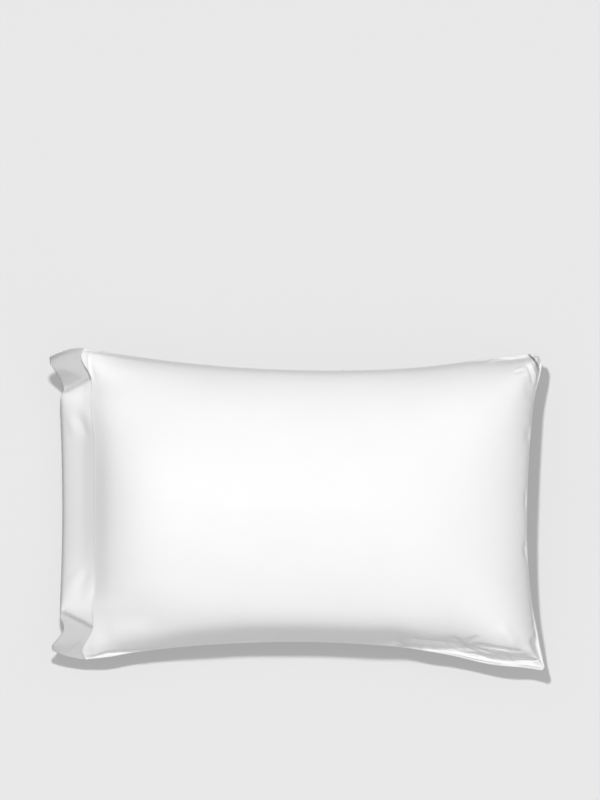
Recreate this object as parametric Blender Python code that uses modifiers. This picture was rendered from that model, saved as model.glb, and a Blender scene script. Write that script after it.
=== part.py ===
"""Pillowcase, filled by its pillow and lying on its back. Metres, +Z up, on the plane Z = 0.

X runs along the case: the open end, closed by its flap, is at -X and the sewn end at +X.
Y runs across it. The bag is worked out from the seam that runs round it (drawn in between its
corners), the height of that seam above the plane, and the crown of the upper panel above it.
"""

import math

import bmesh
import bpy
from mathutils import Vector

# The seam, seen from above: the corners of the bag, and the middle of each side between them
TOP_MID = Vector((0.050, 0.2095))
BOTTOM_MID = Vector((-0.010, -0.2045))
SEWN_END_MID = Vector((0.3465, -0.020))
SEWN_CORNER_TOP = Vector((0.3680, 0.2355))
SEWN_CORNER_BOTTOM = Vector((0.3745, -0.2465))
HEM_CORNER_TOP = Vector((-0.3290, 0.2440))
HEM_CORNER_BOTTOM = Vector((-0.3290, -0.2320))
CORNER_RADIUS = {"top": 0.018, "bottom": 0.006}
# Stretches where a side seam hangs out past its curve: x of the middle, reach each way, and out
SLACK = {
    "top": {"x": 0.285, "reach": 0.070, "out": 0.0035},
    "bottom": {"x": 0.290, "reach": 0.055, "out": 0.0065},
}

# Height of the seam above the plane, and of the crown of the upper panel above the seam, with
# the share of it that the crown loses a reach away from its highest place
SEAM_HEIGHT = {"top": 0.044, "bottom": 0.032, "rise_at_sewn_end": 0.012}
CROWN = 0.118
CROWN_DOME = {"x": 0.010, "reach": 0.340, "drop": 0.13}

# The open end: the hem of the upper panel and, beyond it, the flap over the pillow's end
HEM_MID_X = -0.3090
HEM_STRAIGHT_HALF = 0.162
HEM_TURN = 0.052
FOLD_MID_X = -0.3625
FOLD_BELLY = 0.0035
BULGE_HALF = 0.183
BULGE_FADE = 0.020
BULGE_CROWN = 0.084

# The two unfilled ears where the folded end stands out past the pillow
EAR_TIP_X = -0.3765
EAR_NOTCH_X = -0.3590
EAR_CUT_BACK = 0.014
EAR_FLARE = 0.74
EAR_LIFT = {"top": 0.036, "bottom": 0.003}
EAR_LIFT_FADE = 0.040
# Length over which the filled underside widens from the pillow's end to the full case
EAR_TAPER = 0.070

# Thicknesses of the cloth, and the lip of cloth outside the seam
LIP_WIDTH = 0.0030
LIP_THICKNESS = 0.0024
FLAP_THICKNESS = 0.0016
HEM_THICKNESS = 0.0018
EAR_LAYER = 0.0016
GAP = 0.0005

# How far in from an edge the surface still rises, how full its curve is, and how far the curve
# is cut off at its start, where it would stand upright
SHOULDER = {
    "side": {"width": 0.208, "fullness": 2.3, "cut": 0.008},
    "sewn_end": {"width": 0.230, "fullness": 2.5, "cut": 0.008},
    "hem_end": {"width": 0.235, "fullness": 1.65, "cut": 0.003},
    "underside": {"width": 0.080, "fullness": 2.0, "cut": 0.010},
    "flap": {"width": 0.140, "fullness": 1.35, "cut": 0.002},
    "flap_side": {"width": 0.120, "fullness": 2.3, "cut": 0.006},
}

# Soft folds of the upper panel. x and y: middle; turn: degrees from +X; depth: under 0 a trough
FOLD_COLUMNS = ("x", "y", "turn", "length", "width", "depth")
FOLDS = (
    (0.205, -0.2075, -3, 0.125, 0.0075, -0.0060),
    (0.300, -0.2125, -7, 0.085, 0.0075, -0.0060),
    (0.275, -0.2270, -9, 0.105, 0.0065, 0.0040),
    (0.348, -0.2300, -3, 0.050, 0.0065, -0.0045),
    (0.322, -0.1800, -53, 0.090, 0.0130, 0.0030),
    (0.240, -0.1860, -4, 0.110, 0.0100, 0.0030),
    (0.322, 0.2130, 4, 0.090, 0.0080, -0.0040),
    (0.330, 0.1950, 26, 0.060, 0.0080, 0.0030),
    (0.352, 0.1850, -72, 0.060, 0.0080, -0.0035),
    (0.345, 0.1050, -75, 0.045, 0.0080, -0.0035),
    (0.338, 0.0100, 80, 0.040, 0.0080, -0.0025),
    (0.337, -0.0650, 100, 0.050, 0.0080, -0.0030),
    (-0.180, 0.2120, -8, 0.140, 0.0090, -0.0025),
    (0.150, 0.2040, 6, 0.150, 0.0090, -0.0020),
)
# How far inside the edge of the panel its folds and the lift of its hem are at their full height
FOLD_FADE = 0.012
HEM_FADE = 0.010

# Cells of the bag's grid: under the flap, along the crown, across the bag, and up its lip
SEAT_CELLS = 5
CROWN_CELLS = 42
ROW_CELLS = 36
LIP_BANDS = 3
# Share of each run of cells that closes up towards its ends
ROW_EASE = 0.85
CROWN_EASE = 0.70

CLOTH_WHITE = (0.92, 0.92, 0.92, 1.0)
CLOTH_ROUGHNESS = 0.62


def smooth_step(t):
    t = min(max(t, 0.0), 1.0)
    return t * t * (3 - 2 * t)


def mix(a, b, t):
    return a + (b - a) * t


def bow(s, mid, start, end):
    """Square law: 0 at s = mid, and 1 at s = start or s = end."""
    reach = (start if s < mid else end) - mid
    return ((s - mid) / reach) ** 2


def slack(side, x):
    """How far the seam hangs out past its curve at x."""
    place = SLACK[side]
    return place["out"] * math.exp(-(((x - place["x"]) / place["reach"]) ** 2))


def top_edge(x):
    corner = HEM_CORNER_TOP if x < TOP_MID.x else SEWN_CORNER_TOP
    share = min(bow(x, TOP_MID.x, HEM_CORNER_TOP.x, SEWN_CORNER_TOP.x), 1.0)
    return mix(TOP_MID.y, corner.y, share) + slack("top", x)


def bottom_edge(x):
    corner = HEM_CORNER_BOTTOM if x < BOTTOM_MID.x else SEWN_CORNER_BOTTOM
    share = min(bow(x, BOTTOM_MID.x, HEM_CORNER_BOTTOM.x, SEWN_CORNER_BOTTOM.x), 1.0)
    return mix(BOTTOM_MID.y, corner.y, share) - slack("bottom", x)


def sewn_end(y):
    corner = SEWN_CORNER_BOTTOM if y < SEWN_END_MID.y else SEWN_CORNER_TOP
    share = bow(y, SEWN_END_MID.y, SEWN_CORNER_BOTTOM.y, SEWN_CORNER_TOP.y)
    return mix(SEWN_END_MID.x, corner.x, min(share, 1.1))


def hem_edge(y):
    """Edge of the upper panel: straight over the pillow's end, then out to its two corners."""
    corner = HEM_CORNER_TOP if y > 0 else HEM_CORNER_BOTTOM
    return mix(HEM_MID_X, corner.x, smooth_step((abs(y) - HEM_STRAIGHT_HALF) / HEM_TURN))


def fold_edge(y):
    """Outer edge of the flap where the pillow's end pushes it out."""
    return FOLD_MID_X - FOLD_BELLY * smooth_step(abs(y) / BULGE_HALF)


def in_bulge(y):
    """1 where the pillow's end fills the open end of the case, 0 across the two ears."""
    return smooth_step((BULGE_HALF - abs(y)) / BULGE_FADE)


def profile(s, width, fullness, cut):
    """Rises from 0 at the edge to 1 at a width's distance s inside it."""
    def curve(t):
        return (1 - (1 - min(t, 1.0)) ** fullness) ** (1 / fullness)

    start = curve(cut / (width + cut))
    return (curve((max(s, 0.0) + cut) / (width + cut)) - start) / (1 - start)


def seam_height(x, y):
    """Middle of the lip: lower along the bottom, higher towards the middle of the sewn end."""
    across = (y - HEM_CORNER_BOTTOM.y) / (HEM_CORNER_TOP.y - HEM_CORNER_BOTTOM.y)
    rise = SEAM_HEIGHT["rise_at_sewn_end"] * smooth_step(x / SEWN_END_MID.x)
    bulge = max(1 - bow(y, 0.0, HEM_CORNER_BOTTOM.y, HEM_CORNER_TOP.y), 0.0)
    return mix(SEAM_HEIGHT["bottom"], SEAM_HEIGHT["top"], smooth_step(across)) + rise * bulge


def fold_relief(x, y):
    total = 0.0
    for row in FOLDS:
        fold = dict(zip(FOLD_COLUMNS, row))
        turn = math.radians(fold["turn"])
        dx, dy = x - fold["x"], y - fold["y"]
        along = dx * math.cos(turn) + dy * math.sin(turn)
        aside = dy * math.cos(turn) - dx * math.sin(turn)
        fade = math.exp(-((2 * along / fold["length"]) ** 4))
        total += fold["depth"] * fade * math.exp(-((aside / fold["width"]) ** 2))
    return total


def flap_top(x, y):
    """Upper surface of the flap: the pillow's end under it, and the lift of its two ears."""
    from_fold = profile(x - fold_edge(y), **SHOULDER["flap"])
    from_side = profile(BULGE_HALF - abs(y), **SHOULDER["flap_side"])
    side = "top" if y > 0 else "bottom"
    outward = max(hem_edge(y) - x, 0.0) / (HEM_CORNER_TOP.x - EAR_TIP_X)
    in_ear = smooth_step((abs(y) - BULGE_HALF) / EAR_LIFT_FADE + 0.15)
    lift = EAR_LIFT[side] * min(outward, 1.0) ** 1.3 * in_ear
    return seam_height(x, y) + LIP_THICKNESS / 2 + BULGE_CROWN * from_fold * from_side + lift


def panel_top(x, y):
    """Upper panel: rises from its hem, where it lies on the flap, and from the seam to its crown."""
    inside = min(top_edge(x) - y, y - bottom_edge(x), sewn_end(y) - x)
    dome = 1 - CROWN_DOME["drop"] * ((x - CROWN_DOME["x"]) / CROWN_DOME["reach"]) ** 2
    crown = CROWN * dome * profile(sewn_end(y) - x, **SHOULDER["sewn_end"])
    for s in (top_edge(x) - y, y - bottom_edge(x)):
        crown *= profile(s, **SHOULDER["side"])
    hem = hem_edge(y)
    seam = seam_height(x, y) + LIP_THICKNESS / 2
    at_hem = flap_top(hem, y) - seam_height(hem, y) - LIP_THICKNESS / 2 + HEM_THICKNESS
    at_hem *= smooth_step(inside / HEM_FADE)
    rise = mix(at_hem, crown, profile(x - hem, **SHOULDER["hem_end"]))
    return seam + rise + fold_relief(x, y) * smooth_step(inside / FOLD_FADE)


def underside(x, y):
    """Lower panel: flat where it rests, curving up to the edge of what the pillow fills."""
    past_ears = smooth_step((x - HEM_CORNER_TOP.x) / EAR_TAPER + 0.2)
    top = mix(BULGE_HALF, top_edge(x), past_ears)
    bottom = mix(-BULGE_HALF, bottom_edge(x), past_ears)
    down = 1.0
    for s in (top - y, y - bottom, sewn_end(y) - x, x - fold_edge(y)):
        down *= profile(s, **SHOULDER["underside"])
    return (seam_height(x, y) - LIP_THICKNESS / 2) * (1 - down)


def eased(t, share):
    """Spacing that closes up towards both ends, where the bag turns down to its seam."""
    return mix(t, (1 - math.cos(math.pi * t)) / 2, share)


def rounded_corner(x, y, corner, radius):
    """Turns a square corner of the bag's plan into a round one."""
    side = math.copysign(1.0, corner.y)
    a = (x - corner.x) / radius + 1
    b = (y - corner.y) * side / radius + 1
    if a <= 0 or b <= 0:
        return x, y
    a, b = min(a, 1.0), min(b, 1.0)
    x += radius * a * (math.sqrt(1 - b * b / 2) - 1)
    y += side * radius * b * (math.sqrt(1 - a * a / 2) - 1)
    return x, y


def crown_plan(u, v):
    """Point of the upper panel at share u from hem to sewn end and v from bottom to top."""
    y = mix(HEM_CORNER_BOTTOM.y, HEM_CORNER_TOP.y, v)
    for _ in range(4):
        x = mix(hem_edge(y), sewn_end(y), u)
        y = mix(bottom_edge(x), top_edge(x), v)
    x, y = rounded_corner(x, y, SEWN_CORNER_TOP, CORNER_RADIUS["top"])
    return rounded_corner(x, y, SEWN_CORNER_BOTTOM, CORNER_RADIUS["bottom"])


def flap_point(across, v):
    """Point of the flap's upper surface. across: 0 at the hem, 1 at its outer edge."""
    y = mix(HEM_CORNER_BOTTOM.y, HEM_CORNER_TOP.y, v)
    corner = HEM_CORNER_TOP if y > 0 else HEM_CORNER_BOTTOM
    ear_run = max(abs(y) - BULGE_HALF, 0.0) / (abs(corner.y) - BULGE_HALF)
    outer = mix(EAR_NOTCH_X, fold_edge(y), in_bulge(y))
    outer = mix(outer, EAR_TIP_X, smooth_step(ear_run / EAR_FLARE))
    x = mix(hem_edge(y), outer, across)
    z = flap_top(x, y)
    y -= math.copysign(EAR_CUT_BACK * across ** 2 * ear_run ** 3, y)
    return Vector((x, y, z))


def new_object(name, bm, material, collection):
    mesh = bpy.data.meshes.new(name)
    bm.to_mesh(mesh)
    bm.free()
    mesh.shade_smooth()
    mesh.materials.append(material)
    obj = bpy.data.objects.new(name, mesh)
    collection.objects.link(obj)
    return obj


def closing_flap(material, collection):
    """The flap that closes the open end: one sheet over the pillow's end, with its two ears.

    Returns it, and the place and normal of each point of its upper surface, by column and row.
    """
    bm = bmesh.new()
    bmesh.ops.create_grid(bm, x_segments=SEAT_CELLS, y_segments=ROW_CELLS, size=1.0)
    places = {}
    for vertex in bm.verts:
        across, along = (1 - vertex.co.x) / 2, (vertex.co.y + 1) / 2
        places[round(across * SEAT_CELLS), round(along * ROW_CELLS)] = vertex
        vertex.co = flap_point(across, eased(along, ROW_EASE))
    bm.normal_update()
    surface = {key: (vertex.co.copy(), vertex.normal.copy()) for key, vertex in places.items()}
    flap = new_object("closing_flap", bm, material, collection)
    sheet = flap.modifiers.new("cloth", "SOLIDIFY")
    sheet.thickness = FLAP_THICKNESS
    sheet.offset = -1.0
    return flap, surface


def seat_column(column, row, surface):
    """Top and bottom of the bag where the flap lies on it, a gap below the flap's cloth."""
    place, normal = surface[SEAT_CELLS - column, row]
    top = place - normal * (FLAP_THICKNESS + GAP)
    if column == SEAT_CELLS:
        inner = surface[1, row][0]
        top += (place - inner).normalized() * GAP
    ear = top - normal * EAR_LAYER
    filled = Vector((top.x, top.y, min(underside(top.x, top.y), top.z - EAR_LAYER)))
    return top, ear.lerp(filled, in_bulge(place.y))


def crown_column(column, row, surface):
    """Top and bottom of the bag from the hem's edge to the sewn end."""
    if column == 0:
        place, normal = surface[0, row]
        top = place + normal * HEM_THICKNESS + (place - surface[1, row][0]).normalized() * GAP
    else:
        x, y = crown_plan(eased(column / CROWN_CELLS, CROWN_EASE), eased(row / ROW_CELLS, ROW_EASE))
        on_rim = column == CROWN_CELLS or row in (0, ROW_CELLS)
        z = seam_height(x, y) + LIP_THICKNESS / 2 if on_rim else panel_top(x, y)
        top = Vector((x, y, z))
    return top, Vector((top.x, top.y, underside(top.x, top.y)))


def bag_point(co, surface):
    """Where a vertex of the gridded box (-1 to 1 on each axis) goes on the filled bag."""
    column = round((co.x + 1) / 2 * (SEAT_CELLS + 1 + CROWN_CELLS))
    row = round((co.y + 1) / 2 * ROW_CELLS)
    level = (co.z + 1) / 2
    if column <= SEAT_CELLS:
        top, bottom = seat_column(column, row, surface)
        return bottom.lerp(top, level)
    top, bottom = crown_column(column - SEAT_CELLS - 1, row, surface)
    point = bottom.lerp(top, level)
    if 0.1 < level < 0.9:
        at_side = (row == ROW_CELLS) - (row == 0)
        outward = Vector((int(co.x > 0.999), at_side, 0))
        point += outward.normalized() * LIP_WIDTH
    return point


def subdivide_along(bm, axis, cells):
    edges = [e for e in bm.edges if abs((e.verts[0].co - e.verts[1].co)[axis]) > 1e-6]
    bmesh.ops.subdivide_edges(bm, edges=edges, cuts=cells - 1, use_grid_fill=True)


def filled_case(surface, material, collection):
    """The bag of two panels sewn on three sides, with the lip of its seam, filled."""
    bm = bmesh.new()
    bmesh.ops.create_cube(bm, size=2.0)
    for axis, cells in enumerate((SEAT_CELLS + 1 + CROWN_CELLS, ROW_CELLS, LIP_BANDS)):
        subdivide_along(bm, axis, cells)
    for vertex in bm.verts:
        vertex.co = bag_point(vertex.co, surface)
    return new_object("filled_case", bm, material, collection)


def cloth_material():
    material = bpy.data.materials.new("white_cloth")
    material.use_nodes = True
    shader = material.node_tree.nodes["Principled BSDF"]
    shader.inputs["Base Color"].default_value = CLOTH_WHITE
    shader.inputs["Roughness"].default_value = CLOTH_ROUGHNESS
    shader.inputs["Metallic"].default_value = 0.0
    return material


def centre_on_origin(objects):
    """Stands the middle of the whole case's outline over the origin."""
    graph = bpy.context.evaluated_depsgraph_get()
    corners = [o.matrix_world @ Vector(c) for o in objects for c in o.evaluated_get(graph).bound_box]
    for axis in (0, 1):
        values = [corner[axis] for corner in corners]
        for obj in objects:
            obj.location[axis] -= (min(values) + max(values)) / 2


def main():
    for obj in list(bpy.data.objects):
        bpy.data.objects.remove(obj, do_unlink=True)
    collection = bpy.data.collections.new("pillowcase")
    bpy.context.scene.collection.children.link(collection)
    cloth = cloth_material()
    flap, surface = closing_flap(cloth, collection)
    bag = filled_case(surface, cloth, collection)
    bpy.context.view_layer.update()
    centre_on_origin((bag, flap))


main()
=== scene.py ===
import math

import bpy
import numpy as np
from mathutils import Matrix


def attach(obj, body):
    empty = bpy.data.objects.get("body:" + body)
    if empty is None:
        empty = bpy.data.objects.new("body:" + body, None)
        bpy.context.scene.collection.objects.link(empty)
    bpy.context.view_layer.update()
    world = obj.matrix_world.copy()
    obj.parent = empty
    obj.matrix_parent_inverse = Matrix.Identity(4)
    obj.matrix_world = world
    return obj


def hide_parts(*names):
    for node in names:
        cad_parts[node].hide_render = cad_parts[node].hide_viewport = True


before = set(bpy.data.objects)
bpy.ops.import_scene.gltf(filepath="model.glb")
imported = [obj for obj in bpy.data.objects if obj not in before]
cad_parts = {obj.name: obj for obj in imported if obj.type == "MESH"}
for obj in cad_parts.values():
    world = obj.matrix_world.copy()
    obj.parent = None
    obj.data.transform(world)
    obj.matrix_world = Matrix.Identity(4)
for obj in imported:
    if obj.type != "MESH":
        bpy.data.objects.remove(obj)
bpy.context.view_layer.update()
print("frame loaded")

mm = 0.001
climbSamples = 1201
spacingSamples = 20001

# Outline of the sewn bag from above, in metres: middles and corners of its sides
outline = {
    "topMid": (0.0513, 0.2105),
    "bottomMid": (-0.0087, -0.2035),
    "sewnEndMid": (0.3478, -0.0190),
    "sewnCornerTop": (0.3693, 0.2365),
    "sewnCornerBottom": (0.3758, -0.2455),
    "hemCornerTop": (-0.3277, 0.2450),
    "hemCornerBottom": (-0.3277, -0.2310),
    "roundTop": 0.018,
    "roundBottom": 0.006,
    "slackTop": ((0.2863, 0.070, 0.0035),),       # x, reach and how far the seam hangs out
    "slackBottom": ((0.2913, 0.055, 0.0065),),
    "slackEnd": ((0.2130, 0.030, 0.0050),),       # y, reach and how far the sewn end hangs out
}

# The filled bag. A climb lists how steep the cloth is at distances in from its edge, in
# millimetres and degrees, and its heights are scaled to reach the crown. A shoulder is (width,
# fullness, cut): how far in it still rises, how full it is, and how much upright start is cut off
bag = {
    "seamTop": 0.044,
    "seamBottom": 0.038,
    "seamRise": 0.030,                            # how much higher the sewn end's middle is
    "seamTopRise": 0.030,                         # and the upper side's middle
    "foldDip": (0.016, 0.025),                    # how much lower the fold is, in its middle and above it
    "foldDipReach": (0.215, 0.19),                # how far that goes up and down from the middle
    "foldDipFade": 0.11,
    "foldDipBlend": 0.12,
    "foldDipFrom": (-0.12, 0.15),                 # x where it starts, and how far on it is full
    "flatEase": (0.0006, 0.35),                   # how softly the climb starts beside flat cloth
    "shownAcross": 0.03,
    "lip": 0.0020,
    "lipOut": 0.0004,
    "lipShown": 0.0022,
    "crown": 0.159,
    "ridge": 2.2,
    "domeX": 0.0113,
    "domeReach": 0.340,
    "domeDrop": 0.05,
    "topSide": ((0, 64), (3, 56), (6, 48), (9, 43), (14, 39), (18, 36), (27, 32), (35, 29), (46, 26),
                (61, 22), (92, 17), (120, 13), (150, 10), (208, 3)),
    "bottomSide": ((0, 64), (16, 62), (20, 58), (25, 53), (30, 45), (39, 34), (53, 24), (73, 19),
                   (94, 17), (116, 15), (140, 13), (170, 10), (208, 4)),
    "bottomCorner": ((0, 60), (11, 58), (17, 51), (24, 42), (32, 35), (45, 28), (60, 23), (80, 19),
                     (110, 15), (150, 11), (208, 4)),
    "sewnEnd": ((0, 70), (5, 58), (10, 52), (15, 48), (24, 43), (33, 38), (42, 34), (60, 29), (85, 23),
                (103, 19), (140, 13), (180, 7), (230, 1)),
    "cornersFrom": ((0.14, 0.10), (-0.16, 0.12)),  # x where the lower side's corners start, and fade
    "hemSlower": (0.8, 0.0),                      # how much longer the hem's climb is below and above
    "hemSlowerFrom": (0.11, 0.09),
    "hemEvenSteps": (24, 6),                      # reach and step of the evening, in millimetres
    "hemEvenSpread": 0.012,
    "hemEvenFrom": (0.004, 0.026),
    "cornerEase": 0.006,
    "hemEnd": ((0, 50), (14, 49), (21, 43), (31, 36), (40, 31), (49, 26), (58, 22), (67, 18), (85, 12),
               (110, 6), (150, 2), (190, 1)),
    "underside": (0.080, 2.0, 0.010),
    "undersideAtFold": (0.080, 2.0, 0.0),
    "earTaper": 0.070,
    "earTaperStart": 0.2,
    "crownColumns": 196,
    "rows": 158,
    "spans": (0.656, 0.418),                      # the panel's length and width, for the spacing
    "finest": (1.6, 1.5),                         # spacing at the ends of columns and of rows
    "coarsest": (5.0, 6.0),                       # and in their middle
    "columnReach": (0.10, 0.14),
    "rowReach": (0.11, 0.09),
    "climbHeight": 0.11,
    "slotInset": 0.0004,
    "reliefEase": 0.003,
    "rippleFrom": 0.010,
}

# The open end: the hem of the upper panel, and the flap that is tucked in under it
flapForm = {
    "hemLine": ((-0.2331, -0.3225), (-0.2270, -0.3261), (-0.2201, -0.3299), (-0.2124, -0.3285),
                (-0.2025, -0.3227), (-0.1895, -0.3146), (-0.1780, -0.3112), (-0.1657, -0.3110),
                (-0.1490, -0.3135), (-0.1244, -0.3085), (-0.1000, -0.3077), (0.1000, -0.3077),
                (0.1340, -0.3118), (0.1660, -0.3138), (0.1890, -0.3126), (0.2007, -0.3140),
                (0.2106, -0.3184), (0.2198, -0.3252), (0.2290, -0.3299), (0.2390, -0.3307),
                (0.2466, -0.3241)),
    "foldMidX": -0.3612,
    "foldBelly": 0.0035,
    "midY": 0.0010,
    "bulgeHalf": 0.183,
    "bulgeFade": 0.020,
    "bulgeCrown": 0.074,
    "climb": ((0, 78), (2, 62), (5, 50), (9, 43), (14, 40), (23, 37), (32, 39), (41, 43), (55, 43),
              (70, 40)),
    "sideRiseTop": (0.110, 1.4, 0.003),
    "sideRiseBottom": (0.160, 1.4, 0.003),
    "hemArch": 0.0575,
    "hemSpring": (0.155, 1.08, 0.0),
    "hemEase": 0.0015,
    "hemCornerEase": 0.008,
    "creaseTop": 0.181,
    "creaseBottom": 0.163,
    "creaseTurn": 0.5,
    "creaseReach": 0.05,
    "earTipX": -0.3752,
    "earNotchX": -0.3577,
    "earCutBack": 0.014,
    "earFlare": 0.74,
    "earTopLift": 0.040,
    "earTopStart": 0.12,                          # share of the lift at the crease
    "earTopCurl": 1.2,
    "earBottomLift": 0.018,
    "earBottomStart": 0.4,
    "earBottomTip": 0.003,
    "earFade": 0.040,
    "earFadeStart": 0.15,
    "cloth": 0.0014,
    "gap": 0.0003,
    "hem": 0.0020,
    "tuck": 0.0050,
    "tuckEase": 0.02,
    "earLayer": 0.0012,
    "leg": 0.0080,
    "columns": 30,
    "columnPower": 1.7,
    "creaseEase": 0.004,
    # painted shade on the ears, partly for thin cloth with no filling behind it, and more at their edges
    "earDim": 0.45,
    "edgeDim": 0.30,
    "dimFade": 0.008,
    "dimStart": 1.1,
}

# The arc in which the seam is turned at the upper sewn corner, in millimetres
cornerArc = ((338, 240.5), (345, 239.0), (352, 236.0), (358, 230.5), (363, 223.5), (366.5, 216.0),
             (369, 205.0))

# Creases of the upper panel, in millimetres: points from above, height (under 0 a trough), width
# on its left and on its right, and the share of its length over which each end dies out
panelCreases = (
    (((136, -200.2), (156, -208.6), (174, -217.0)), -4, 4, 2, 0.3),
    (((164, -197.9), (188, -203.2), (209, -204.0), (232, -207.1), (261, -211.3)), -4.5, 3, 2.5, 0.15),
    (((264, -205.5), (294, -210.1), (318, -213.9), (347, -217.8)), -3.5, 2.5, 2, 0.25),
    (((231, -192.5), (248, -203.2)), -2.5, 2.5, 2.5, 0.35),
    (((274, -191.0), (257, -202.5)), -2.5, 2.5, 2.5, 0.35),
    (((196, -208.6), (206, -215.5), (218, -221.7)), -2.5, 2, 2, 0.3),
    (((324, -228.5), (347, -231.1), (372, -232.3)), -3.5, 2, 1.5, 0.25),
    (((160, -201.7), (173, -213.9)), 2, 3, 3, 0.35),
    (((177, -216.2), (196, -218.5), (214, -221.6)), 1.5, 2, 2, 0.3),
    (((220, -220.1), (263, -227.7), (327, -240.7)), 2.5, 3, 3, 0.2),
    (((240, -213.9), (269, -217.0), (291, -220.1), (309, -225.4)), 1.8, 3, 3, 0.25),
    (((312, -217.8), (327, -236.1)), -2.5, 4, 4, 0.35),
    (((304, -170.3), (321, -194.8), (336, -217.8)), 2.5, 8, 9, 0.35),
    (((332, -236.9), (355, -239.9), (378, -242.2)), 2, 5, 5, 0.3),
    (((357, -136.7), (361, -173.4), (368, -200.9)), -1.6, 1.6, 2.5, 0.3),
    (((-300, -196.0), (-262, -186.0), (-216, -177.0)), 2.5, 17, 18, 0.4),
    (((355, -191.8), (367, -225.4)), -2, 5, 5, 0.35),
    (((284, 224.7), (313, 229.0)), 1.5, 2.5, 2.5, 0.35),
    (((315, 231.1), (346, 235.4)), 2.0, 2, 2.5, 0.3),
    (((328, 210.1), (344, 217.1)), 1.1, 2, 1.6, 0.35),
    (((326, 206.5), (346, 213.4)), -1.1, 1.5, 2.5, 0.35),
    (cornerArc, -2.0, 1.8, 1.8, 0.2),
    (((348, 228.0), (356, 219.0), (361, 206.0), (363, 190.0)), 1.3, 1.8, 1.8, 0.3),
    (((344, 223.0), (351, 214.0), (356, 201.0), (358, 186.0)), -1.4, 2.2, 2.2, 0.3),
    (((354, 210.2), (350, 184.6), (357, 161.7)), -1.2, 8, 7, 0.4),
    (((346, 123.9), (353, 100.5)), -1.8, 6, 6, 0.4),
    (((346, 31.6), (349, -6.6)), -1.6, 4, 4, 0.35),
    (((344, -44.9), (349, -83.1)), -1.6, 4, 4, 0.35),
    (((-318, 236.0), (-317, 218.0), (-312, 204.0), (-306, 188.0)), -1.0, 4, 5, 0.35),
    (((-319, 242.8), (-319, 221.3), (-317, 201.5)), 1.5, 2.5, 2.5, 0.3),
    (((-315, -230.5), (-295, -222.4), (-280, -220.5), (-254, -219.3), (-224, -219.3)), -3, 3, 2, 0.15),
)

# Small folds beside the lower seam: length along and across in millimetres, wander, start and height
crumple = {
    "folds": ((31, 13, 0.35, 0.4, -1.1), (19, -17, 0.30, 2.1, -0.8), (47, 11, 0.25, 4.0, 0.9)),
    "wander": 23,
    "from": 0.125,
    "to": 0.345,
    "fade": 0.03,
    "reach": 0.034,
    "reachFade": 0.016,
    "seamEase": 0.004,
    "sharp": 1.5,
}

# Ripples that the stitches draw into the cloth beside the seam: start and height, in millimetres, for
# the top, the bottom and the sewn end
puckerForm = {
    "sides": ((0.4, 0.30), (1.7, 0.45), (2.9, 0.60)),
    "lengths": (0.0234, 0.0151),
    "swellLength": 0.113,
    "reach": 0.020,
    "seamEase": 0.004,
}

# Creases of the flap and of its ears, in the same form
flapCreases = (
    (((-344, 154.0), (-330, 128.0), (-315, 98.9)), -1.3, 5, 6, 0.4),
    (((-334, 163.2), (-321, 141.8), (-309, 117.3)), 1.0, 5, 6, 0.4),
    (((-355, 144.8), (-346, 126.5), (-334, 108.1)), 1.0, 5, 6, 0.4),
    (((-312, -81.6), (-330, -113.0), (-346, -132.1)), -1.3, 6, 5, 0.4),
    (((-309, -113.7), (-320, -130.6), (-332, -147.4)), 1.0, 6, 5, 0.4),
    (((-328, -87.7), (-341, -104.5), (-357, -121.4)), 0.8, 6, 5, 0.4),
    (((-359, 181.0), (-349, 186.7), (-339, 191.8), (-325, 198.1)), -1.6, 4, 4, 0.2),
    (((-360, -161.6), (-349, -168.3), (-338, -174.1), (-321, -182.6)), -1.6, 4, 4, 0.2),
    (((-347, -220.1), (-333, -201.7)), -1.2, 2, 2, 0.35),
    (((-372, 229.0), (-348, 210.6), (-328, 201.5)), 1.2, 5, 4, 0.3),
)

# Painted shade in the crease along that arc, drawn as dark beads
cornerArcShade = {
    "fade": 0.2,
    "width": 1.35,
    "strength": 1.4,
    "around": (0.335, 0.205),
    "beads": 55,
    "beadShare": 0.15,
}

# Where the seam and the cloth beside it ride up or sag, in millimetres: place, reach and height
seamLumps = (
    ((150, -209), 22, -3.0),
    ((196, -219), 20, 2.5),
    ((262, -232), 26, -1.5),
    ((318, -240), 20, 2.0),
    ((352, -243), 16, -2.5),
    ((376, -243), 14, 3.5),
    ((-296, -228), 20, 1.5),
    ((-330, 246), 46, 14.0),
    ((-340, -232), 34, -8.0),
    ((362, 232), 16, 2.0),
)

# Flat cloth between the seam and the filling: side, place along it, reach and width, in millimetres
seamFlats = (
    ("bottom", -287, 28, 4.0),
    ("bottom", -86, 40, 1.0),
    ("bottom", 150, 30, 3.0),
    ("bottom", 262, 58, 13.0),
    ("bottom", 350, 30, 10.0),
    ("top", 330, 45, 5.0),
    ("end", 225, 30, 3.0),
    ("end", -222, 30, 3.0),
)

# Where the seam's lip shows from above: place and reach, in millimetres
seamShown = (
    (-290, -229, 30),
    (225, -220, 50),
    (300, -235, 80),
    (372, -240, 30),
    (366, -180, 8),
    (340, 232, 30),
)


def smoothStep(t):
    t = np.clip(t, 0.0, 1.0)
    return t * t * (3 - 2 * t)


def mix(a, b, t):
    return a + (b - a) * t


def bow(s, mid, start, end):
    return ((s - mid) / np.where(s < mid, start - mid, end - mid)) ** 2


def slack(places, x):
    return sum(out * np.exp(-(((x - at) / reach) ** 2)) for at, reach, out in places)


def topEdge(x):
    o = outline
    corner = np.where(x < o["topMid"][0], o["hemCornerTop"][1], o["sewnCornerTop"][1])
    share = np.minimum(bow(x, o["topMid"][0], o["hemCornerTop"][0], o["sewnCornerTop"][0]), 1.0)
    return mix(o["topMid"][1], corner, share) + slack(o["slackTop"], x)


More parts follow.
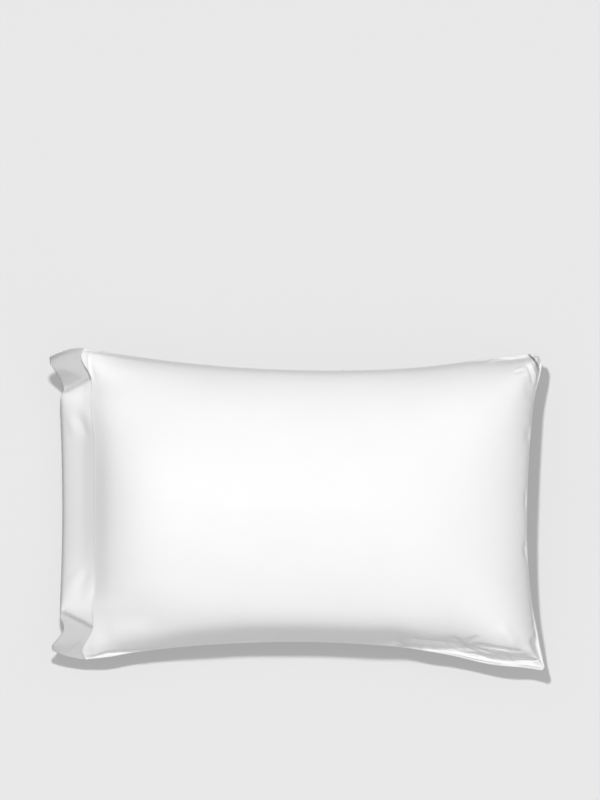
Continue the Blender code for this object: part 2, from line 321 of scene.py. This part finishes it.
def bottomEdge(x):
    o = outline
    corner = np.where(x < o["bottomMid"][0], o["hemCornerBottom"][1], o["sewnCornerBottom"][1])
    share = np.minimum(bow(x, o["bottomMid"][0], o["hemCornerBottom"][0], o["sewnCornerBottom"][0]), 1.0)
    return mix(o["bottomMid"][1], corner, share) - slack(o["slackBottom"], x)


def sewnEnd(y):
    o = outline
    corner = np.where(y < o["sewnEndMid"][1], o["sewnCornerBottom"][0], o["sewnCornerTop"][0])
    share = bow(y, o["sewnEndMid"][1], o["sewnCornerBottom"][1], o["sewnCornerTop"][1])
    return mix(o["sewnEndMid"][0], corner, np.minimum(share, 1.1)) + slack(o["slackEnd"], y)


def fromMid(y):
    return np.abs(y - flapForm["midY"])


def halfWidth(y):
    ends = outline["hemCornerTop"][1], outline["hemCornerBottom"][1]
    return np.where(y > flapForm["midY"], ends[0] - flapForm["midY"], flapForm["midY"] - ends[1])


def fromCorner(y):
    return np.minimum(y - outline["hemCornerBottom"][1], outline["hemCornerTop"][1] - y)


def hemEdge(y):
    places, line = zip(*flapForm["hemLine"])
    return sum(np.interp(y + step * mm, places, line) for step in range(-4, 5, 2)) / 5


def foldEdge(y):
    return flapForm["foldMidX"] - flapForm["foldBelly"] * smoothStep(fromMid(y) / flapForm["bulgeHalf"])


def inBulge(y):
    return smoothStep((flapForm["bulgeHalf"] - fromMid(y)) / flapForm["bulgeFade"])


def bulgeEnd(x, y):
    # the crease between the filled fold and each ear runs in towards the hem
    f = flapForm
    start = np.where(y > f["midY"], f["creaseTop"], f["creaseBottom"])
    return start + f["creaseTurn"] * np.clip(x - f["earNotchX"], 0.0, f["creaseReach"])


def shoulder(s, width, fullness, cut):
    def curve(t):
        return (1 - (1 - np.clip(t, 0.0, 1.0)) ** fullness) ** (1 / fullness)

    start = curve(cut / (width + cut))
    return (curve((np.maximum(s, 0.0) + cut) / (width + cut)) - start) / (1 - start)


def climb(s, steps):
    places, degrees = zip(*steps)
    fine = np.linspace(0, places[-1], climbSamples)
    # the steps are evened over a few millimetres
    slopes = sum(np.tan(np.radians(np.interp(fine + d, places, degrees))) for d in (-2, -1, 0, 1, 2)) / 5
    height = np.concatenate([[0], np.cumsum((slopes[1:] + slopes[:-1]) / 2)])
    return np.interp(np.maximum(s, 0) / mm, fine, height / height[-1])


def together(*shares):
    # the lowest of the shares, eased where they meet, which leaves a soft ridge to each corner
    hard = bag["ridge"]
    low = [np.maximum(share, 1e-6) for share in shares]
    return (sum(share ** -hard for share in low) - len(low) + 1) ** (-1 / hard)


def flatWidth(side, at):
    return sum(width * mm * np.exp(-(((at - place * mm) / (reach * mm)) ** 2))
               for name, place, reach, width in seamFlats if name == side)


def shownAlong(x, y):
    # share of the seam's lip that shows from above
    across = bag["shownAcross"]
    return np.clip(sum(np.exp(-(((x - px * mm) / (reach * mm)) ** 2 + ((y - py * mm) / across) ** 2))
                       for px, py, reach in seamShown), 0.0, 1.0)


def insideOf(x, y):
    return topEdge(x) - y, y - bottomEdge(x), sewnEnd(y) - x


def rising(s, flat, steps):
    # height share at distance s in from a seam that has flat cloth of some width beside it
    soft = bag["flatEase"][0] + bag["flatEase"][1] * flat
    past = 0.5 * (s - flat + np.sqrt((s - flat) ** 2 + soft ** 2) - (np.sqrt(flat ** 2 + soft ** 2) - flat))
    return climb(past, steps)


def lumps(x, y):
    return sum(h * mm * np.exp(-((x - px * mm) ** 2 + (y - py * mm) ** 2) / (reach * mm) ** 2)
               for (px, py), reach, h in seamLumps)


def seamHeight(x, y):
    b, o = bag, outline
    bottomEnd, topEnd = o["hemCornerBottom"][1], o["hemCornerTop"][1]
    across = smoothStep((y - bottomEnd) / (topEnd - bottomEnd))
    belly = np.maximum(1 - bow(y, flapForm["midY"], bottomEnd, topEnd), 0.0)
    along = np.maximum(1 - bow(x, o["topMid"][0], o["hemCornerTop"][0], o["sewnCornerTop"][0]), 0.0)
    seam = mix(b["seamBottom"], b["seamTop"] + b["seamTopRise"] * along, across)
    seam = seam + b["seamRise"] * smoothStep(x / o["sewnEndMid"][0]) * belly
    start, length = b["foldDipFrom"]
    inFold = smoothStep((np.where(y > 0, *b["foldDipReach"]) - fromMid(y)) / b["foldDipFade"])
    inFold = inFold * smoothStep((start - x) / length)
    return seam - mix(*b["foldDip"], smoothStep(y / b["foldDipBlend"])) * inFold + lumps(x, y)


def flapHeight(x, y):
    f, o = flapForm, outline
    isTop = y > f["midY"]
    inside = bulgeEnd(x, y) - fromMid(y)
    side = np.where(isTop, shoulder(inside, *f["sideRiseTop"]), shoulder(inside, *f["sideRiseBottom"]))
    rise = f["bulgeCrown"] * together(climb(x - foldEdge(y), f["climb"]), side)
    along = np.clip((fromMid(y) - f["bulgeHalf"]) / (halfWidth(y) - f["bulgeHalf"]), 0.0, 1.0)
    outward = np.clip((hemEdge(y) - x) / (o["hemCornerTop"][0] - f["earTipX"]), 0.0, 1.0)
    topLift = f["earTopLift"] * outward ** f["earTopCurl"] * mix(f["earTopStart"], 1, along)
    bottomLift = (f["earBottomLift"] * (1 - along) * mix(f["earBottomStart"], 1, outward)
                  + f["earBottomTip"] * outward * along)
    onEar = smoothStep((fromMid(y) - f["bulgeHalf"]) / f["earFade"] + f["earFadeStart"])
    return seamHeight(x, y) + bag["lip"] / 2 + rise + np.where(isTop, topLift, bottomLift) * onEar


def onFlap(y):
    # how far the flap stands above the seam's height where the hem lies on it
    hem = hemEdge(y)
    return flapHeight(hem, y) - seamHeight(hem, y) - bag["lip"] / 2 + creaseRelief(hem, y, flapCreases)


def hemLift(y):
    # the hem springs straight up from each corner, so it stands clear of the two ears
    f = flapForm
    over = f["hemArch"] * shoulder(fromCorner(y), *f["hemSpring"]) - onFlap(y) - f["hem"] - f["gap"]
    lift = (over + np.sqrt(over ** 2 + f["hemEase"] ** 2)) / 2
    return lift * smoothStep(fromCorner(y) / f["hemCornerEase"])


def hemRise(y):
    return onFlap(y) + flapForm["hem"] + flapForm["gap"] + hemLift(y)


def evenedHem(y):
    # height of the hem, evened along it
    reach, step = bag["hemEvenSteps"]
    steps = np.arange(-reach, reach + 1, step) * mm
    parts = np.exp(-((steps / bag["hemEvenSpread"]) ** 2))
    ends = outline["hemCornerBottom"][1], outline["hemCornerTop"][1]
    return sum(part * hemRise(np.clip(y + step, *ends)) for step, part in zip(steps, parts)) / parts.sum()


def lowerClimb(x, bottom):
    # the lower side climbs less steeply near both of its corners
    flat = flatWidth("bottom", x)
    (sewn, sewnFade), (openEnd, openFade) = bag["cornersFrom"]
    atCorner = smoothStep((x - sewn) / sewnFade) + smoothStep((openEnd - x) / openFade)
    return mix(rising(bottom, flat, bag["bottomSide"]), rising(bottom, flat, bag["bottomCorner"]), atCorner)


def panelHeight(x, y):
    b = bag
    top, bottom, end = insideOf(x, y)
    seam = seamHeight(x, y) + b["lip"] / 2
    crown = b["crown"] * (1 - b["domeDrop"] * ((x - b["domeX"]) / b["domeReach"]) ** 2)
    share = together(rising(end, flatWidth("end", y), b["sewnEnd"]),
                     rising(top, flatWidth("top", x), b["topSide"]), lowerClimb(x, bottom))
    past = x - hemEdge(y)
    start, fade = b["hemEvenFrom"]
    atHem = mix(hemRise(y), evenedHem(y), smoothStep((past - start) / fade))
    atHem = atHem * smoothStep(np.minimum(top, bottom) / b["cornerEase"])
    start, fade = b["hemSlowerFrom"]
    slower = smoothStep((fromMid(y) - start) / fade) * np.where(y < 0, *b["hemSlower"])
    return seam + mix(atHem, (crown - seam) * share, climb(past / (1 + slower), b["hemEnd"]))


def undersideHeight(x, y):
    f = flapForm
    pastEars = smoothStep((x - outline["hemCornerTop"][0]) / bag["earTaper"] + bag["earTaperStart"])
    top, bottom, end = insideOf(x, y)
    top = mix(f["midY"] + f["bulgeHalf"] - y, top - flatWidth("top", x), pastEars)
    bottom = mix(y - f["midY"] + f["bulgeHalf"], bottom - flatWidth("bottom", x), pastEars)
    down = shoulder(top, *bag["underside"]) * shoulder(bottom, *bag["underside"])
    down = down * shoulder(end - flatWidth("end", y), *bag["underside"])
    down = down * shoulder(x - foldEdge(y), *bag["undersideAtFold"])
    return (seamHeight(x, y) - bag["lip"] / 2) * (1 - down)


def creaseRelief(x, y, creases):
    total = np.zeros_like(x)
    for points, height, left, right, ease in creases:
        nearest, side = np.full(x.shape, 1e9), np.zeros_like(x)
        along = np.zeros_like(x)
        spans = [math.dist(a, b) for a, b in zip(points, points[1:])]
        done = 0.0
        for (ax, ay), (bx, by), span in zip(points, points[1:], spans):
            dx, dy = (bx - ax) / span, (by - ay) / span
            px, py = x / mm - ax, y / mm - ay
            t = np.clip(px * dx + py * dy, 0.0, span)
            gap = np.hypot(px - t * dx, py - t * dy)
            closer = gap < nearest
            nearest = np.where(closer, gap, nearest)
            side = np.where(closer, dx * py - dy * px, side)
            along = np.where(closer, (done + t) / sum(spans), along)
            done += span
        fade = smoothStep(along / ease) * smoothStep((1 - along) / ease)
        total += height * mm * fade * np.exp(-((nearest / np.where(side > 0, left, right)) ** 2))
    return total


def ripple(at, start):
    # two waves that take turns to swell, so that no two ripples are alike
    long, short = puckerForm["lengths"]
    swell = 0.6 + 0.4 * np.sin(2 * math.pi * at / puckerForm["swellLength"] + 2.1 * start)
    return (np.sin(2 * math.pi * at / long + start) * swell
            + 0.6 * np.sin(2 * math.pi * at / short + 3.3 * start) * (1.4 - swell))


def puckers(x, y):
    p = puckerForm
    total = 0.0
    for s, at, (start, height) in zip(insideOf(x, y), (x, x, y), p["sides"]):
        fade = np.exp(-s / p["reach"]) * smoothStep(s / p["seamEase"])
        total = total + height * mm * ripple(at, start) * fade
    return total


def crumples(x, y):
    # many small uneven folds in the slack cloth beside the lower seam, near its sewn corner
    c = crumple
    s = y - bottomEdge(x)
    total = 0.0
    for lengthAlong, lengthAcross, turn, start, height in c["folds"]:
        turns = x / mm / lengthAlong + s / mm / lengthAcross + turn * np.sin(x / mm / c["wander"] + start)
        wave = np.sin(2 * math.pi * turns + start)
        total = total + height * mm * (1 - np.abs(wave)) ** c["sharp"]
    zone = smoothStep((x - c["from"]) / c["fade"]) * smoothStep((c["to"] - x) / c["fade"])
    zone = zone * smoothStep(s / c["seamEase"]) * smoothStep((c["reach"] - s) / c["reachFade"])
    return total * zone


def spaced(count, span, start, end, fine, coarse, reach):
    # shares from 0 to 1, closer together near both ends and where the cloth stands up steeply
    at = np.linspace(0, span, spacingSamples)
    height = bag["climbHeight"] * climb(at, start) * climb(span - at, end)
    near = np.minimum(smoothStep(at / reach[0]), smoothStep((span - at) / reach[1]))
    cost = np.hypot(1, np.gradient(height, at)) / mix(fine, coarse, near)
    total = np.concatenate([[0], np.cumsum((cost[1:] + cost[:-1]) / 2)])
    return np.interp(np.linspace(0, total[-1], count + 1), total, at / span)


def roundedCorner(x, y, corner, radius):
    side = math.copysign(1.0, corner[1])
    a = np.clip((x - corner[0]) / radius + 1, 0.0, 1.0)
    b = np.clip((y - corner[1]) * side / radius + 1, 0.0, 1.0)
    return (x + radius * a * (np.sqrt(1 - b * b / 2) - 1),
            y + side * radius * b * (np.sqrt(1 - a * a / 2) - 1))


def panelPlan(u, v):
    # place from above at share u from hem to sewn end and v from bottom to top
    y = mix(outline["hemCornerBottom"][1], outline["hemCornerTop"][1], v)
    for _ in range(5):
        x = mix(hemEdge(y), sewnEnd(y), u)
        y = mix(bottomEdge(x), topEdge(x), v)
    x, y = roundedCorner(x, y, outline["sewnCornerTop"], outline["roundTop"])
    return roundedCorner(x, y, outline["sewnCornerBottom"], outline["roundBottom"])


def gridNormals(points):
    n = np.cross(np.gradient(points, axis=0), np.gradient(points, axis=1))
    n /= np.maximum(np.linalg.norm(n, axis=2, keepdims=True), 1e-12)
    return n * math.copysign(1.0, n[..., 2].mean())


def unit(v):
    return v / np.maximum(np.linalg.norm(v, axis=-1, keepdims=True), 1e-12)


def panelShares():
    # shares of the columns, from hem to sewn end, and of the rows, from bottom to top
    b = bag
    (columnFine, rowFine), (columnCoarse, rowCoarse) = b["finest"], b["coarsest"]
    columns = spaced(b["crownColumns"], b["spans"][0], b["hemEnd"], b["sewnEnd"], columnFine,
                     columnCoarse, b["columnReach"])
    rows = spaced(b["rows"], b["spans"][1], b["bottomSide"], b["topSide"], rowFine, rowCoarse,
                  b["rowReach"])
    return columns, rows


def flapSurface(rowShares):
    # outer face of the flap by column and row: two columns tucked in under the hem, then from the
    # hem to the fold, then round the fold
    f, o = flapForm, outline
    y = mix(o["hemCornerBottom"][1], o["hemCornerTop"][1], rowShares)
    earRun = np.maximum(fromMid(y) - f["bulgeHalf"], 0.0) / (halfWidth(y) - f["bulgeHalf"])
    outer = mix(f["earNotchX"], foldEdge(y), inBulge(y))
    outer = mix(outer, f["earTipX"], smoothStep(earRun / f["earFlare"]))
    tuck = f["tuck"] * smoothStep(fromCorner(y) / f["tuckEase"])
    columns = []
    for share in (1.0, 0.5):
        x = hemEdge(y) + tuck * share
        columns.append(np.stack([x, y, flapHeight(x, y)], axis=1))
    for t in np.linspace(0, 1, f["columns"] + 1):
        across = 1 - (1 - t) ** f["columnPower"]
        x = mix(hemEdge(y), outer, across)
        cut = np.sign(y - f["midY"]) * f["earCutBack"] * across ** 2 * earRun ** 3
        columns.append(np.stack([x, y - cut, flapHeight(x, y)], axis=1))
    surface = np.array(columns)
    relief = creaseRelief(surface[..., 0], surface[..., 1], flapCreases)
    relief *= smoothStep(fromCorner(y) / f["creaseEase"])[None, :]
    relief[:2] = relief[2]
    surface += gridNormals(surface) * relief[..., None]
    edge, normal = surface[-1], gridNormals(surface)[-1]
    outward = unit(edge - surface[-3])
    r = (f["cloth"] + f["gap"] + f["earLayer"]) / 2
    bulge = inBulge(y)[:, None]
    legs = []
    for step in (1, 2, 3):
        # round the ear's edge, or down the filled end
        turn = step * math.pi / 6
        roundEar = edge + outward * r * math.sin(turn) - normal * r * (1 - math.cos(turn))
        drop = f["leg"] * step / 3
        share = np.clip(drop / (edge[:, 2] - bag["lip"]), 0, 1)
        downEnd = edge.copy()
        downEnd[:, 0] += bag["underside"][0] * (1 - np.sqrt(1 - share ** 2))
        downEnd[:, 2] -= drop
        legs.append(mix(roundEar, downEnd, bulge))
    return np.concatenate([surface, np.array(legs)])


def bagSurfaces(flap, columnShares, rowShares):
    # upper and lower face of the bag by column (from the fold to the sewn end) and row
    f = flapForm
    normal = gridNormals(flap)
    seats, hemColumn = slice(2, 3 + f["columns"]), 2
    seat = (flap - normal * (f["cloth"] + f["gap"]))[seats][::-1]
    inward = unit(flap[0] - flap[2] + 1e-9)
    slotLow = flap[0] - normal[0] * (f["cloth"] + f["gap"]) + inward * bag["slotInset"]
    slotHigh = flap[0] + normal[0] * f["gap"] + inward * bag["slotInset"]
    place, up = flap[hemColumn], normal[hemColumn]
    outward = unit(flap[hemColumn + 2] - place)
    r = f["hem"] / 2
    middle = place + up * (f["gap"] + r)
    middle[:, 2] += hemLift(place[:, 1])
    roundHem = [middle - up * r * math.cos(a) + outward * r * math.sin(a)
                for a in np.linspace(0, math.pi, 5)]
    uu, vv = np.meshgrid(columnShares[1:], rowShares, indexing="ij")
    x, y = panelPlan(uu, vv)
    panel = np.stack([x, y, panelHeight(x, y)], axis=2)
    top, bottom, end = insideOf(x, y)
    inside = np.maximum(np.minimum(np.minimum(top, bottom), end), 0.0)
    relief = creaseRelief(x, y, panelCreases) + puckers(x, y) + crumples(x, y)
    relief = relief * smoothStep(inside / bag["reliefEase"])
    panel += gridNormals(panel) * relief[..., None]
    upper = np.concatenate([seat, slotLow[None], slotHigh[None], np.array(roundHem), panel])
    lower = upper.copy()
    ear = seat - normal[seats][::-1] * f["earLayer"]
    filled = seat.copy()
    filled[..., 2] = np.minimum(undersideHeight(seat[..., 0], seat[..., 1]), seat[..., 2] - f["earLayer"])
    lower[:len(seat)] = mix(ear, filled, inBulge(seat[..., 1])[..., None])
    lower[-len(panel):, :, 2] = undersideHeight(x, y)
    first, last = len(seat) - 3, len(upper) - len(panel) + 2
    for column in range(first + 1, last):
        lower[column] = mix(lower[first], lower[last], (column - first) / (last - first))
    under = lower[last:]
    relief = puckers(under[..., 0], under[..., 1]) * smoothStep(inside[2:] / bag["reliefEase"])
    under[..., 2] -= relief * smoothStep(under[..., 2] / bag["rippleFrom"])
    return upper, lower


def selectOnly(obj):
    bpy.ops.object.select_all(action="DESELECT")
    obj.select_set(True)
    bpy.context.view_layer.objects.active = obj


def coordinates(obj):
    co = np.zeros(len(obj.data.vertices) * 3)
    obj.data.vertices.foreach_get("co", co)
    return co.reshape(-1, 3)


def setCoordinates(obj, co):
    obj.data.vertices.foreach_set("co", co.astype(np.float32).ravel())
    obj.data.update()


def setDim(obj, values):
    obj.data.attributes.new("dim", "FLOAT", "POINT").data.foreach_set("value", values.astype(np.float32))


def applyModifiers(obj):
    selectOnly(obj)
    for modifier in list(obj.modifiers):
        bpy.ops.object.modifier_apply(modifier=modifier.name)


def clothUv(obj, cell, lengths):
    # cloth lengths in metres as the piece's UV map, so that the weave follows the cloth
    loops = np.zeros(len(obj.data.loops), dtype=np.int32)
    obj.data.loops.foreach_get("vertex_index", loops)
    uv = np.stack([lengths[0][cell[:, 0]], lengths[1][cell[:, 1]]], axis=1)[loops]
    layer = obj.data.uv_layers[0]
    layer.name = "cloth"
    layer.data.foreach_set("uv", uv.astype(np.float32).ravel())


def runLengths(points):
    middleRow, middleColumn = points[:, points.shape[1] // 2], points[points.shape[0] // 2]
    return [np.concatenate([[0], np.cumsum(np.linalg.norm(np.diff(line, axis=0), axis=1))])
            for line in (middleRow, middleColumn)]


def makeFlap(surface, material):
    bpy.ops.object.select_all(action="DESELECT")
    columns, rows = surface.shape[0] - 1, surface.shape[1] - 1
    bpy.ops.mesh.primitive_grid_add(x_subdivisions=columns, y_subdivisions=rows, size=2)
    flap = bpy.context.object
    flap.name = flap.data.name = "flap"
    co = coordinates(flap)
    cell = np.rint((np.stack([1 - co[:, 0], co[:, 1] + 1], axis=1)) / 2 * [columns, rows]).astype(int)
    clothUv(flap, cell, runLengths(surface))
    places = surface[cell[:, 0], cell[:, 1]]
    # painted shade: the ears darker, partly for thin cloth with no filling behind it, and darker still
    # round their edges
    ends = fromMid(places[:, 1]) - bulgeEnd(places[:, 0], places[:, 1])
    onEar = smoothStep(ends / flapForm["dimFade"] + flapForm["dimStart"])
    atEdge = np.maximum(cell[:, 0] - 2 - flapForm["columns"], 0) / 3
    setDim(flap, onEar * (flapForm["earDim"] + flapForm["edgeDim"] * atEdge))
    setCoordinates(flap, places)
    solid = flap.modifiers.new("cloth", "SOLIDIFY")
    solid.thickness = flapForm["cloth"]
    solid.offset = -1.0
    applyModifiers(flap)
    flap.data.shade_smooth()
    flap.data.materials.append(material)
    return flap


def paintedArcShade(places):
    # painted shade in the crease of the corner's seam, drawn in beads along an arc
    h = cornerArcShade
    x, y = places[:, 0], places[:, 1]
    arc = creaseRelief(x, y, ((cornerArc, 1 / mm, h["width"], h["width"], h["fade"]),))
    turn = np.arctan2(y - h["around"][1], x - h["around"][0])
    beads = 1 - h["beadShare"] * (1 - np.sin(turn * h["beads"]))
    return np.clip(h["strength"] * arc * beads, 0.0, 1.0)


def makeCase(upper, lower, material):
    columns, rows = upper.shape[0] - 1, upper.shape[1] - 1
    panels = []
    for z in (1.0, -1.0):
        bpy.ops.object.select_all(action="DESELECT")
        bpy.ops.mesh.primitive_grid_add(x_subdivisions=columns, y_subdivisions=rows, size=2,
                                        location=(0, 0, z))
        bpy.ops.object.transform_apply(location=True, rotation=False, scale=False)
        panels.append(bpy.context.object)
    case = panels[0]
    selectOnly(case)
    panels[1].select_set(True)
    bpy.ops.object.join()
    case.name = case.data.name = "case"
    bpy.ops.object.mode_set(mode="EDIT")
    bpy.ops.mesh.select_mode(type="EDGE")
    bpy.ops.mesh.select_all(action="DESELECT")
    bpy.ops.mesh.select_non_manifold(extend=False)
    bpy.ops.mesh.bridge_edge_loops(number_cuts=3)
    bpy.ops.mesh.select_all(action="SELECT")
    bpy.ops.mesh.normals_make_consistent(inside=False)
    bpy.ops.object.mode_set(mode="OBJECT")
    co = coordinates(case)
    cell = np.rint((co[:, :2] + 1) / 2 * [columns, rows]).astype(int)
    level = ((co[:, 2] + 1) / 2)[:, None]
    clothUv(case, cell, runLengths(upper))
    out = np.zeros((columns + 1, rows + 1, 3))
    out[:, 0, 1], out[:, -1, 1], out[-1, :, 0] = -1, 1, 1
    shown = shownAlong(upper[..., 0], upper[..., 1])[..., None]
    out = unit(out) * mix(bag["lipOut"], bag["lipShown"], shown)
    c, r = cell[:, 0], cell[:, 1]
    places = mix(lower[c, r], upper[c, r], level)
    places += out[c, r] * np.sqrt(np.maximum(1 - (2 * level - 1) ** 2, 0))
    setCoordinates(case, places)
    # painted shade in the crease of the upper sewn corner, on the upper panel only
    setDim(case, paintedArcShade(places) * (level[:, 0] > 0.99))
    case.data.shade_smooth()
    case.data.materials.append(material)
    return case


def mathNode(tree, operation, *values):
    node = tree.nodes.new("ShaderNodeMath")
    node.operation = operation
    for socket, value in zip(node.inputs, values):
        if isinstance(value, bpy.types.NodeSocket):
            tree.links.new(value, socket)
        else:
            socket.default_value = value
    return node.outputs[0]


def blendNode(tree, mode, factor, first, second):
    # mixes the colour of the first socket with the second, which is a plain colour
    node = tree.nodes.new("ShaderNodeMix")
    node.data_type = "RGBA"
    node.blend_type = mode
    node.inputs["B"].default_value = second
    tree.links.new(factor, node.inputs["Factor"])
    tree.links.new(first, node.inputs["A"])
    return node.outputs["Result"]


def dimBetween(tree, colour, between):
    # light that goes from surface to surface meets a darker colour, as the photograph's shadows do
    path = tree.nodes.new("ShaderNodeLightPath")
    return blendNode(tree, "MIX", path.outputs["Is Diffuse Ray"], colour, between)


# The sateen: colours, then how fine, how rough and how lustrous it is
sateen = {
    "light": (0.925, 0.925, 0.925, 1),
    "dark": (0.905, 0.905, 0.905, 1),
    "ramp": (0.35, 0.95),
    "between": (0.55, 0.55, 0.55, 1),
    "paintedShadeTone": (0.15, 0.15, 0.15, 1),             # painted shade on the ears (partly thin cloth with no filling behind it), their edges and the corner's crease
    "thread": 3200.0,
    "floats": (0.22, 1.0, 1.0),                   # the weft's long floats
    "mottle": 14.0,
    "threadShare": 0.35,
    "roughness": (0.58, 0.70),
    "bump": (0.25, 0.00006),
    "specular": 0.25,
    "sheen": (0.04, 0.4),
}


def sateenGroup():
    group = bpy.data.node_groups.new("sateenWeave", "ShaderNodeTree")
    face = group.interface
    for name, value in (("Thread", sateen["thread"]), ("Mottle", sateen["mottle"])):
        socket = face.new_socket(name=name, in_out="INPUT", socket_type="NodeSocketFloat")
        socket.default_value = value
    for name in ("Tint", "Height", "Rough"):
        face.new_socket(name=name, in_out="OUTPUT", socket_type="NodeSocketFloat")
    nodes, links = group.nodes, group.links
    inputs, outputs = nodes.new("NodeGroupInput"), nodes.new("NodeGroupOutput")
    uv = nodes.new("ShaderNodeUVMap")
    uv.uv_map = "cloth"
    stretch = nodes.new("ShaderNodeMapping")
    stretch.inputs["Scale"].default_value = sateen["floats"]
    threads = nodes.new("ShaderNodeTexNoise")
    threads.inputs["Detail"].default_value = 2.0
    mottle = nodes.new("ShaderNodeTexNoise")
    mottle.inputs["Detail"].default_value = 4.0
    links.new(uv.outputs["UV"], stretch.inputs["Vector"])
    links.new(stretch.outputs["Vector"], threads.inputs["Vector"])
    links.new(uv.outputs["UV"], mottle.inputs["Vector"])
    links.new(inputs.outputs["Thread"], threads.inputs["Scale"])
    links.new(inputs.outputs["Mottle"], mottle.inputs["Scale"])
    tint = mathNode(group, "MULTIPLY_ADD", threads.outputs["Fac"], sateen["threadShare"],
                    mottle.outputs["Fac"])
    links.new(tint, outputs.inputs["Tint"])
    links.new(threads.outputs["Fac"], outputs.inputs["Height"])
    links.new(mottle.outputs["Fac"], outputs.inputs["Rough"])
    return group


def sateenMaterial():
    material = bpy.data.materials.new("whiteSateen")
    material.use_nodes = True
    tree = material.node_tree
    nodes, links = tree.nodes, tree.links
    shader = nodes["Principled BSDF"]
    weave = nodes.new("ShaderNodeGroup")
    weave.node_tree = sateenGroup()
    ramp = nodes.new("ShaderNodeValToRGB")
    for element, place, colour in zip(ramp.color_ramp.elements, sateen["ramp"],
                                      (sateen["dark"], sateen["light"])):
        element.position, element.color = place, colour
    rough = nodes.new("ShaderNodeMapRange")
    rough.inputs["To Min"].default_value, rough.inputs["To Max"].default_value = sateen["roughness"]
    bump = nodes.new("ShaderNodeBump")
    bump.inputs["Strength"].default_value, bump.inputs["Distance"].default_value = sateen["bump"]
    # the dim attribute carries the painted shade of the ears, their edges and the corner's crease
    dim = nodes.new("ShaderNodeAttribute")
    dim.attribute_name = "dim"
    links.new(weave.outputs["Tint"], ramp.inputs["Fac"])
    colour = blendNode(tree, "MULTIPLY", dim.outputs["Fac"], ramp.outputs["Color"], sateen["paintedShadeTone"])
    links.new(dimBetween(tree, colour, sateen["between"]), shader.inputs["Base Color"])
    links.new(weave.outputs["Rough"], rough.inputs["Value"])
    links.new(rough.outputs["Result"], shader.inputs["Roughness"])
    links.new(weave.outputs["Height"], bump.inputs["Height"])
    links.new(bump.outputs["Normal"], shader.inputs["Normal"])
    shader.inputs["Specular IOR Level"].default_value = sateen["specular"]
    shader.inputs["Sheen Weight"].default_value = sateen["sheen"][0]
    shader.inputs["Sheen Roughness"].default_value = sateen["sheen"][1]
    return material


whiteSateen = sateenMaterial()
columnShares, rowShares = panelShares()

surface = flapSurface(rowShares)
flap = makeFlap(surface, whiteSateen)
print("flap made")

upper, lower = bagSurfaces(surface, columnShares, rowShares)
case = makeCase(upper, lower, whiteSateen)
print("case made", len(case.data.polygons))

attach(case, "root")
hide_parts("filled_case")

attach(flap, "root")
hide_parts("closing_flap")

# Floor, lights and camera
studio = {
    "floor": 0.716,
    "floorPalest": 0.86,
    "floorBetween": (0.28, 0.28, 0.28, 1.0),
    "keyFrom": (-0.22, 0.88, 2.00),
    "keyRadius": 0.08,
    "keyPower": 1.79,
    "keyShare": 0.507,
    "fillFrom": (0.22, -0.55, 1.00),
    "fill": 1.275,
    "sky": 0.215,
    "cameraHeight": 6.04,
    "cameraOver": (0.00286, 0.16627),
    "lens": 176.5,
}

bpy.ops.mesh.primitive_plane_add(size=30, location=(0, 0, 0))
floor = bpy.context.object
floor.name = "floor"


def floorMaterial():
    # paper that is toned a little paler away from the key light, so that it looks even
    paper = bpy.data.materials.new("paleFloor")
    paper.use_nodes = True
    tree = paper.node_tree
    shader = tree.nodes["Principled BSDF"]
    shader.inputs["Roughness"].default_value = 0.9
    shader.inputs["Specular IOR Level"].default_value = 0.0
    place = tree.nodes.new("ShaderNodeTexCoord")
    away = tree.nodes.new("ShaderNodeVectorMath")
    away.operation = "DISTANCE"
    away.inputs[1].default_value = studio["keyFrom"]
    tree.links.new(place.outputs["Object"], away.inputs[0])
    share = studio["keyShare"]
    near = mathNode(tree, "DIVIDE", studio["keyFrom"][2], away.outputs["Value"])
    lit = mathNode(tree, "MULTIPLY_ADD", near, share, 1 - share)
    tone = mathNode(tree, "DIVIDE", studio["floor"], lit)
    tone = mathNode(tree, "MINIMUM", tone, studio["floorPalest"])
    tree.links.new(dimBetween(tree, tone, studio["floorBetween"]), shader.inputs["Base Color"])
    return paper


floor.data.materials.append(floorMaterial())

bpy.ops.object.light_add(type="POINT", location=studio["keyFrom"])
keyLight = bpy.context.object
keyLight.name = "keyLight"
keyLight.data.energy = studio["keyPower"]
keyLight.data.shadow_soft_size = studio["keyRadius"]
keyLight.data.use_nodes = True
keyNodes = keyLight.data.node_tree
evenly = keyNodes.nodes.new("ShaderNodeLightFalloff")
evenly.inputs["Strength"].default_value = 4 * math.pi
keyNodes.links.new(evenly.outputs["Constant"], keyNodes.nodes["Emission"].inputs["Strength"])

x, y, z = studio["fillFrom"]
bpy.ops.object.light_add(type="SUN", location=studio["fillFrom"])
fillLight = bpy.context.object
fillLight.name = "fillLight"
fillLight.data.energy = studio["fill"]
fillLight.data.use_shadow = False
fillLight.rotation_euler = (math.atan2(math.hypot(x, y), z), 0, math.atan2(x, -y))

world = bpy.data.worlds.new("sky")
world.use_nodes = True
world.node_tree.nodes["Background"].inputs["Color"].default_value = (1, 1, 1, 1)
world.node_tree.nodes["Background"].inputs["Strength"].default_value = studio["sky"]
bpy.context.scene.world = world

bpy.ops.object.camera_add(location=(*studio["cameraOver"], studio["cameraHeight"]), rotation=(0, 0, 0))
camera = bpy.context.object
camera.data.lens = studio["lens"]
camera.data.sensor_width = 36
camera.data.clip_end = 50
bpy.context.scene.camera = camera
bpy.context.scene.view_settings.view_transform = "Standard"
print("studio set")
